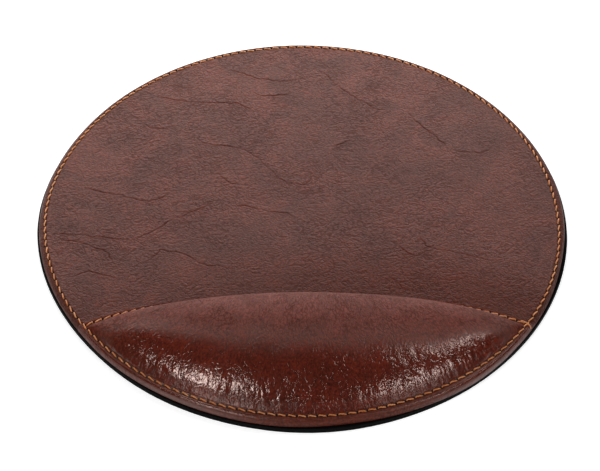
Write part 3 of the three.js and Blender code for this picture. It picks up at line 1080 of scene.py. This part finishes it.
def thicken(piece, thickness):
    """Gives an open sheet its thickness below it, as a share that its points carry."""
    shares = np.zeros(len(piece.data.vertices), np.float32)
    piece.data.attributes["full"].data.foreach_get("value", shares)
    solid = piece.modifiers.new("thickness", "SOLIDIFY")
    solid.thickness = thickness * MM
    solid.offset = -1.0
    solid.use_rim = True
    group = piece.vertex_groups.new(name="full")
    for index, value in enumerate(shares.tolist()):
        group.add([index], value, "REPLACE")
    solid.vertex_group = "full"


def mousing_leather():
    """The rim band, the creased field and the lap under the cover, as one sheet with its thickness."""
    x, y, z, radius = panel_band
    end = float(seam_turn_at(FIELD_RADIUS, UNDER_LIP))
    turns = np.linspace(-end, end, SEAM_COLUMNS)
    flat, triangles = panel_field(x[0], y[0], *seam_point(turns, UNDER_LIP))
    crease, shift, _ = creased(flat)
    lap = panel_lap(turns)
    lap_size = sum(len(row) for row in lap)

    points = np.concatenate([as_points(x, y, z), np.column_stack([flat, PANEL_TOP + shift]), *lap])
    on_top = points[:, 2] > PANEL_TOP - FACES_UP
    points[:, 2] += np.where(on_top, panel_wave(points[:, 0], points[:, 1]), 0.0)
    faces = grid_faces(*x.shape, flip=True)
    faces += [tuple(x.size + i for i in face) for face in triangles]
    faces += grid_faces(len(lap), len(turns), x.size + len(flat), flip=True)

    rim = rim_marks(x, y, radius)
    # Painted shade beside the seam joins the rim's burnish in one mark.
    burnish_and_seam_shade = np.maximum(rim["burnish"], seam_shade(x, y)).ravel()
    full = np.repeat(pared(x.shape[0]), x.shape[1])
    marks = {
        "burnish": np.concatenate([burnish_and_seam_shade, seam_shade(*flat.T), np.zeros(lap_size)]),
        "hole": np.concatenate([rim["hole"].ravel(), np.zeros(len(flat) + lap_size)]),
        "crease": np.concatenate([np.zeros(x.size), crease, np.zeros(lap_size)]),
        "full": np.concatenate([full, np.ones(len(flat)), np.full(lap_size, LAP_SHARE)]),
    }
    piece = make_piece("mousing_leather", points, faces, PANEL_FINISH, marks)
    thicken(piece, LEATHER)
    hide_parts("mousing_panel")
    return piece


panel = mousing_leather()
print(panel.name, len(panel.data.polygons), "faces")

# %% [markdown]
# ## Wrist rest cover
# The cover is one leather piece: a crown over the foam, a flat margin that is sewn down along the seam, and
# the turned rim at the front. Its grid has three parts that share their edges. The crown is a lens whose
# columns run from the seam to the rim. Strips continue those columns past the stitches. The two corners are
# filled by the lines beside the seam crossed with the rings of the rim. The front is puckered by the
# stitches and polished by the wrist, and the top is satin. The left tip is given the burnished colour and
# less sheen, as painted shade. A cloth simulation could drape it, but leather sewn tight over foam hardly
# drapes, and noise puts the puckers where the stitches pull.

# %% Wrist rest crown
COVER_COLUMNS = 900
COVER_ROWS = 96
CROWN_PEAK = 0.39
CROWN_FRONT_EASE = 1.6
CROWN_END_EASE = 0.85
CROWN_RISE = 0.98 * (CROWN_TOP - COVER_TOP)
SEAM_MARGIN = 1.4
CROWN_FRONT = STITCH_RADIUS - STITCH_MARGIN


def crown_lens(inset, foot, columns, rows):
    """Points of the crown, as columns from the seam to the rim, and each point's way left to the rim."""
    offset = -SEAM_MARGIN - inset
    front_radius = CROWN_FRONT - inset
    corner_turn = float(seam_turn_at(front_radius, offset))
    corner_x, corner_y = seam_point(corner_turn, offset)
    corner_angle = math.atan2(corner_x, -corner_y)
    along = np.linspace(-1, 1, columns)[None, :]
    back_x, back_y = seam_point(along * corner_turn, offset)
    front_x, front_y = on_circle(front_radius, along * corner_angle)
    depth = np.hypot(front_x - back_x, front_y - back_y)
    rise = (CROWN_RISE - inset + COVER_TOP - foot) * (depth / depth.max()) ** CROWN_END_EASE
    lean = np.radians(np.linspace(-90, 90, rows))[:, None]
    share = CROWN_PEAK + np.where(lean < 0, CROWN_PEAK, 1 - CROWN_PEAK) * np.sin(lean)
    height = np.maximum(np.cos(lean), 0) ** np.where(lean < 0, 1.0, CROWN_FRONT_EASE)
    x = back_x + (front_x - back_x) * share
    y = back_y + (front_y - back_y) * share
    z = foot + rise * height
    return x, y, z, depth * (1 - share)


def surface_normals(x, y, z):
    """Unit normals of a grid of points, pointing up."""
    grid = np.stack([x, y, z], -1)
    down = np.gradient(grid, axis=0)
    along = np.gradient(grid, axis=1)
    normal = np.cross(along, down)
    normal *= np.where(normal[..., 2:] < 0, -1.0, 1.0)
    return normal / np.maximum(np.linalg.norm(normal, axis=-1, keepdims=True), 1e-9)


print("crown rises by", round(CROWN_RISE, 2))

# %% Wrist rest puckers and polish
PUCKER_REACH = 14.0
PUCKER_BROAD = 0.20
PUCKER_FINE = 0.09
PUCKER_VALLEY = 0.08
PUCKER_VALLEY_HALF = 0.22
LUMP = 0.18
SMALL_LUMP = 0.04
CALM = 0.65
CALM_PLACE = 8.0
CALM_HALF = 22.0
POLISH_START = 0.65
POLISH_FADE = 0.42
POLISH_LEAST_FADE = 13.0
LEFT_TIP = (35, 55, 0.2)
RIGHT_TIP = (66, 18, 0.35)


def crown_relief(x, y, z, to_front, depth):
    """How far the leather stands out from the smooth crown: puckers at the front and soft lumps."""
    flat = np.zeros_like(z)
    along = np.arctan2(x, -y) * STITCH_RADIUS
    sway = 1.2 * wander(x, y, flat, 8.0, 11.0)
    broad = wander(along + sway, 0.50 * to_front, flat, 2.9, 12.0)
    fine = wander(along + sway, 0.55 * to_front, flat, 1.4, 13.0)
    reach = PUCKER_REACH * (1 + 0.6 * wander(along, flat, flat, 9.0, 14.0))
    near = bell(to_front, reach)
    strength = np.clip(0.8 + 0.8 * wander(x, y, flat, 17.0, 15.0), 0.25, 1.3)
    strength = strength * (1 - CALM * bell(along - CALM_PLACE, CALM_HALF))
    valley = bell(wander(along + sway, 0.34 * to_front, flat, 2.1, 18.0), PUCKER_VALLEY_HALF)
    puckers = near * strength * (PUCKER_BROAD * broad + PUCKER_FINE * fine - PUCKER_VALLEY * valley)
    lumps = LUMP * wander(x, y, z, 24.0, 16.0) + SMALL_LUMP * wander(x, y, z, 7.0, 17.0)
    hold = np.clip(to_front / 0.8, 0, 1) * np.clip((depth - to_front) / 3.0, 0, 1)
    return (puckers + lumps) * hold


def crown_shine(x, y, to_front, depth):
    """How polished the crown is: from part of the way up its front to the stitches, and more at its tips."""
    start = POLISH_START + 0.06 * wander(x, y, np.zeros_like(x), 12.0, 19.0)
    for side, (place, width, amount) in ((-x, LEFT_TIP), (x, RIGHT_TIP)):
        start = start + amount * np.clip((side - place) / width, 0, 1)
    polish = np.clip((start * depth - to_front) / np.maximum(POLISH_FADE * depth, POLISH_LEAST_FADE), 0, 1)
    return polish * np.clip(to_front / 4.0, 0.75, 1)


def crown_surface():
    """The puckered crown and how polished it is."""
    x, y, z, to_front = crown_lens(0.0, COVER_TOP, COVER_COLUMNS, COVER_ROWS)
    normal = surface_normals(x, y, z)
    depth = to_front[0][None, :]
    out = crown_relief(x, y, z, to_front, depth)
    moved = (place + normal[..., axis] * out for axis, place in enumerate((x, y, z)))
    return *moved, crown_shine(x, y, to_front, depth)


crown_x, crown_y, crown_z, crown_polish = crown_surface()
print("crown from", round(crown_z.min(), 2), "to", round(crown_z.max(), 2))

# %% Wrist rest margins and corners
LIP_ROUND = 0.3
SEAM_ROWS = (-SEAM_MARGIN, -1.0, -0.7, -0.58, -0.44, -0.3, -0.15, 0.0, 0.15, 0.3, 0.44, 0.62, 0.8)
COVER_CREASE = 0.22
LIP_STEPS = 5
LIP_FACE = 3
LIP_OVERLAP = 0.06


def lip_rows():
    """Offset behind the stitches, drop, and share of the way down to the mousing leather, row by row."""
    rows = [(offset, 0.0, 0.0) for offset in SEAM_ROWS]
    for step in range(LIP_STEPS):
        turn = math.radians(90 * step / (LIP_STEPS - 1))
        offset = LIP_WIDTH - LIP_ROUND + LIP_ROUND * math.sin(turn)
        rows.append((offset, LIP_ROUND * (1 - math.cos(turn)), 0.0))
    for step in range(1, LIP_FACE + 1):
        rows.append((LIP_WIDTH, LIP_ROUND, step / LIP_FACE))
    return np.array(rows)


def cover_strips():
    """The back strip, the front strip and the right corner, as grids with shared edges."""
    lips = lip_rows()
    rims = rim_rows(COVER_TOP, CROWN_FRONT, COVER_EDGE)
    along = np.linspace(-1, 1, COVER_COLUMNS)

    offset, drop, sink = (column[:, None] for column in lips.T)
    turn = along * seam_turn_at(CROWN_FRONT, offset)
    back_x, back_y = seam_point(turn, offset)
    top = COVER_TOP - drop - stitch_drop(offset, seam_phase(turn), SEAM_STITCH)
    back_z = top + sink * (PANEL_TOP - LIP_OVERLAP - top)
    # The seam's needle holes, painted dark as shade.
    back_hole = needle_hole(offset, seam_phase(turn), SEAM_STITCH)

    radius = rims[:, 0][:, None]
    end_x, end_y = seam_point(seam_turn_at(radius, SEAM_ROWS[0]), SEAM_ROWS[0])
    front_x, front_y = on_circle(radius, along * np.arctan2(end_x, -end_y))
    front_z = np.broadcast_to(rims[:, 1][:, None], front_x.shape)
    front_z = rim_relief(front_x, front_y, front_z, radius, COVER_TOP, COVER_CREASE)

    ring = rims[:, 0][None, :]
    corner_turn = seam_turn_at(ring, offset)
    corner_x, corner_y = seam_point(corner_turn, offset)
    level = np.broadcast_to(rims[:, 1][None, :], corner_x.shape)
    level = rim_relief(corner_x, corner_y, level, ring, COVER_TOP, COVER_CREASE)
    faces_up = np.clip((level - COVER_TOP + COVER_EDGE) / COVER_EDGE, 0, 1)
    sewn = stitch_drop(offset, seam_phase(corner_turn), SEAM_STITCH) * (ring < STITCH_RADIUS)
    level = level - (drop + sewn) * faces_up
    below = rim_height(ring, PANEL_TOP, PANEL_EDGE) - LIP_OVERLAP
    corner_z = level + sink * np.minimum(below - level, 0.0)
    back = (back_x, back_y, back_z, back_hole)
    front = (front_x, front_y, front_z, radius)
    return back, front, (corner_x, corner_y, corner_z, ring)


back_strip, front_strip, corner_patch = cover_strips()
print("strips", back_strip[0].shape, front_strip[0].shape, corner_patch[0].shape)

# %% Wrist rest cover
TIP_START = 52.0
TIP_LENGTH = 26.0
LIP_WAX = 0.8
LIP_WAX_WIDTH = 0.5


def tip_shade(x):
    """Painted shade on the left tip of the wrist rest, given the burnished colour and less sheen."""
    return eased((-x - TIP_START) / TIP_LENGTH)


def cover_part(x, y, z, **marks):
    """One grid of the cover and the numbers that its points carry: plain leather where nothing is said."""
    marks = {"burnish": 0.0, "hole": 0.0, "full": 1.0, "polish": 0.0, **marks}
    spread = {name: np.broadcast_to(value, x.shape).ravel() for name, value in marks.items()}
    return as_points(x, y, z), x.shape, spread


def cover_parts():
    """The crown, the strips behind and before it, and the corners, each with its rows facing up."""
    # The left tip's painted shade rides on the burnish mark, in the crown and in the back strip.
    yield cover_part(crown_x, crown_y, crown_z, burnish=tip_shade(crown_x), polish=crown_polish)
    x, y, z, hole = (grid[::-1] for grid in back_strip)
    lip = LIP_WAX * np.clip(lip_rows()[::-1, 0] / LIP_WAX_WIDTH, 0, 1)[:, None]
    yield cover_part(x, y, z, burnish=np.maximum(lip, tip_shade(x)), hole=hole)
    x, y, z, radius = front_strip
    marks = {**rim_marks(x, y, radius), "full": pared(len(x))[:, None]}
    yield cover_part(x, y, z, polish=rim_polish(radius, x), **marks)
    x, y, z, ring = corner_patch
    marks = {**rim_marks(x, y, ring), "full": pared(x.shape[1])[None, :]}
    flipped = {**marks, "hole": marks["hole"][::-1]}
    yield cover_part(x[::-1], y[::-1], z[::-1], polish=rim_polish(ring, x), **flipped)
    yield cover_part(-x, y, z, polish=rim_polish(ring, -x), **marks)


def wrist_rest_cover():
    """All grids of the cover as one sheet with its thickness."""
    points, faces, marks, first = [], [], [], 0
    for part, shape, spread in cover_parts():
        points.append(part)
        faces += grid_faces(*shape, first, flip=True)
        marks.append(spread)
        first += len(part)
    points = np.concatenate(points)
    named = {name: np.concatenate([spread[name] for spread in marks]) for name in marks[0]}
    piece = make_piece("wrist_rest_leather", points, faces, COVER_FINISH, named)
    thicken(piece, LEATHER)
    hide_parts("wrist_rest_cover")
    return piece


cover = wrist_rest_cover()
print(cover.name, len(cover.data.polygons), "faces")

# %% [markdown]
# ## Foam
# The filling is never seen whole, but it is part of the pad: a crowned block that fills the cover with a
# little room to spare.

# %% Foam
FOAM_COLUMNS = 160
FOAM_ROWS = 40
FOAM_INSET = LEATHER + 0.4
FOAM_EDGE = 0.5
FOAM_GAP = 0.05


def wrist_rest_foam():
    """A closed block: the crown's lens on top, a flat underside and two end caps."""
    x, y, z, _ = crown_lens(FOAM_INSET, BOARD_TOP + FOAM_EDGE, FOAM_COLUMNS, FOAM_ROWS)
    x, y, z = (grid[:, 1:-1] for grid in (x, y, z))
    z = np.minimum(z, CROWN_TOP - FOAM_INSET)
    low = np.full_like(z, BOARD_TOP + FOAM_GAP)
    top = np.stack([x, y, z], -1)
    bottom = np.stack([x, y, low], -1)
    loop = np.concatenate([top, bottom[::-1]])
    faces = grid_faces(len(loop), x.shape[1], flip=True)
    count = x.shape[1]
    last = (len(loop) - 1) * count
    faces += [(last + i, last + i + 1, i + 1, i)[::-1] for i in range(count - 1)]
    for end in (0, count - 1):
        cap = [row * count + end for row in range(len(loop))]
        faces.append(cap if end else cap[::-1])
    piece = make_piece("wrist_rest_filling", loop.reshape(-1, 3), faces, FOAM_FINISH)
    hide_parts("wrist_rest_foam")
    return piece


foam = wrist_rest_foam()
print(foam.name, len(foam.data.polygons), "faces")

# %% [markdown]
# ## Thread
# A lock stitch shows one dash of thread between two needle holes. The thread dives into each hole, and each
# dash lies slightly askew, because the needle enters a little to one side. A bevelled curve would be a plain
# pipe. A tube made ring by ring can have three lobes that turn along it, like plies.

# %% Thread
THREAD_RADIUS = 0.27
THREAD_SIDES = 9
THREAD_SEAT = 0.08
THREAD_ARCH = 0.10
STEPS_PER_STITCH = 22
DIVE = 1.6
GAP_SHARE = 0.09
DIVE_SHARE = 0.10
END_DIVE = 0.7
END_LIFT = 0.2
SLANT = 0.30
PLY_LENGTH = 1.5
PLY_DEPTH = 0.10


def dash_shape(phase):
    """Height and sideways shift of the thread along one stitch."""
    ends = (np.minimum(phase, 1 - phase) - GAP_SHARE) / DIVE_SHARE
    up = eased(ends)
    height = -DIVE * (1 - up) + THREAD_ARCH * np.sin(math.pi * phase)
    return height, SLANT * -np.cos(math.pi * phase) * up


def twisted_tube(path, closed):
    """A three-ply tube along a path, with its two ends joined or capped."""
    tangent = np.gradient(path, axis=0)
    if closed:
        tangent = np.roll(path, -1, 0) - np.roll(path, 1, 0)
    tangent /= np.linalg.norm(tangent, axis=1, keepdims=True)
    side = np.cross(tangent, (0.0, 0.0, 1.0))
    side /= np.linalg.norm(side, axis=1, keepdims=True)
    up = np.cross(side, tangent)
    angle = np.linspace(0, 2 * math.pi, THREAD_SIDES, endpoint=False)[None, :]
    lobe = 1 + PLY_DEPTH * np.cos(3 * angle - 2 * math.pi * run_along(path)[:, None] / PLY_LENGTH)
    ring = THREAD_RADIUS * lobe
    points = path[:, None, :] + (ring * np.cos(angle))[..., None] * side[:, None, :]
    points = points + (ring * np.sin(angle))[..., None] * up[:, None, :]
    faces = grid_faces(len(path), THREAD_SIDES, closed=True)
    last = (len(path) - 1) * THREAD_SIDES
    if closed:
        after = [(i + 1) % THREAD_SIDES for i in range(THREAD_SIDES)]
        faces += [(last + i, last + after[i], after[i], i) for i in range(THREAD_SIDES)]
    else:
        faces.append(list(range(THREAD_SIDES))[::-1])
        faces.append([last + i for i in range(THREAD_SIDES)])
    return points.reshape(-1, 3), faces


END_STITCHES = (
    (STITCH_RADIUS - 2.8, STITCH_RADIUS + 0.5, 0.45),
    (STITCH_RADIUS + 0.2, LEATHER_RADIUS - 0.1, -0.1),
)
LIP_END_TURN = float(seam_turn_at(STITCH_RADIUS, LIP_WIDTH))
LIP_END = seam_point(LIP_END_TURN, LIP_WIDTH)
LIP_ANGLE = math.atan2(LIP_END[0], -LIP_END[1])


def rim_level(angle):
    """Height of the leather under the rim's thread, which steps down past the cover's lip."""
    from_front = np.abs((angle + math.pi) % (2 * math.pi) - math.pi)
    past = (from_front - LIP_ANGLE) * STITCH_RADIUS
    return COVER_TOP + (PANEL_TOP - COVER_TOP) * eased((past + 0.4) / 1.6)


print("lip ends at", round(math.degrees(LIP_ANGLE), 1), "degrees from the front")

# %% Threads of the rim and the seam
def rim_thread():
    """The row of dashes round the rim, as one closed tube."""
    steps = RIM_STITCHES * STEPS_PER_STITCH
    share = np.arange(steps) / steps
    height, shift = dash_shape((share * RIM_STITCHES) % 1.0)
    angle = 2 * math.pi * share
    radius = STITCH_RADIUS + shift
    level = rim_level(angle) - THREAD_SEAT + height
    path = as_points(*on_circle(radius, angle), level)
    points, faces = twisted_tube(path, closed=True)
    piece = make_piece("rim_thread", points, faces, THREAD_FINISH)
    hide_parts("rim_needle_thread")
    return piece


def dash_over_rim(start, end, offset):
    """A stitch at the seam's right end, from one radius to another, that lies on the cover's rim."""
    share = np.linspace(0, 1, STEPS_PER_STITCH)
    radius = start + (end - start) * share
    x, y = seam_point(seam_turn_at(radius, offset), offset)
    dive = END_DIVE * (1 - eased(np.minimum(share, 1 - share) / DIVE_SHARE))
    return as_points(x, y, rim_height(radius, COVER_TOP, COVER_EDGE) + END_LIFT - dive)


def seam_thread():
    """The dashes along the seam, and two stitches that fasten it over the rim."""
    steps = SEAM_STITCHES * STEPS_PER_STITCH
    share = np.arange(steps + 1) / steps
    height, shift = dash_shape((share * SEAM_STITCHES) % 1.0)
    run = SEAM_HALF_RUN * (2 * share - 1)
    x, y = seam_point(np.interp(run, SEAM_RUN, SEAM_TURNS), shift)
    paths = [as_points(x, y, COVER_TOP - THREAD_SEAT + height)]
    paths += [dash_over_rim(*stitch) for stitch in END_STITCHES]
    points, faces, first = [], [], 0
    for path in paths:
        tube, quads = twisted_tube(path, closed=False)
        points.append(tube)
        faces += [[first + index for index in quad] for quad in quads]
        first += len(tube)
    piece = make_piece("seam_thread", np.concatenate(points), faces, THREAD_FINISH)
    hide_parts("seam_needle_thread")
    return piece


rim = rim_thread()
seam = seam_thread()
print(rim.name, len(rim.data.polygons), "faces,", seam.name, len(seam.data.polygons), "faces")

# %% [markdown]
# ## Pieces that stay as they are
# The board and the two lower threads are inside the pad and already have the right shape. The frame's own
# solids stay and only take a finish.

# %% Finishes on the frame's own solids
for node, finish in (
    ("core_board", BOARD_FINISH),
    ("rim_bobbin_thread", THREAD_FINISH),
    ("seam_bobbin_thread", THREAD_FINISH),
):
    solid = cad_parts[node]
    solid.data.materials.clear()
    solid.data.materials.append(finish)
    print(node, "takes", finish.name)
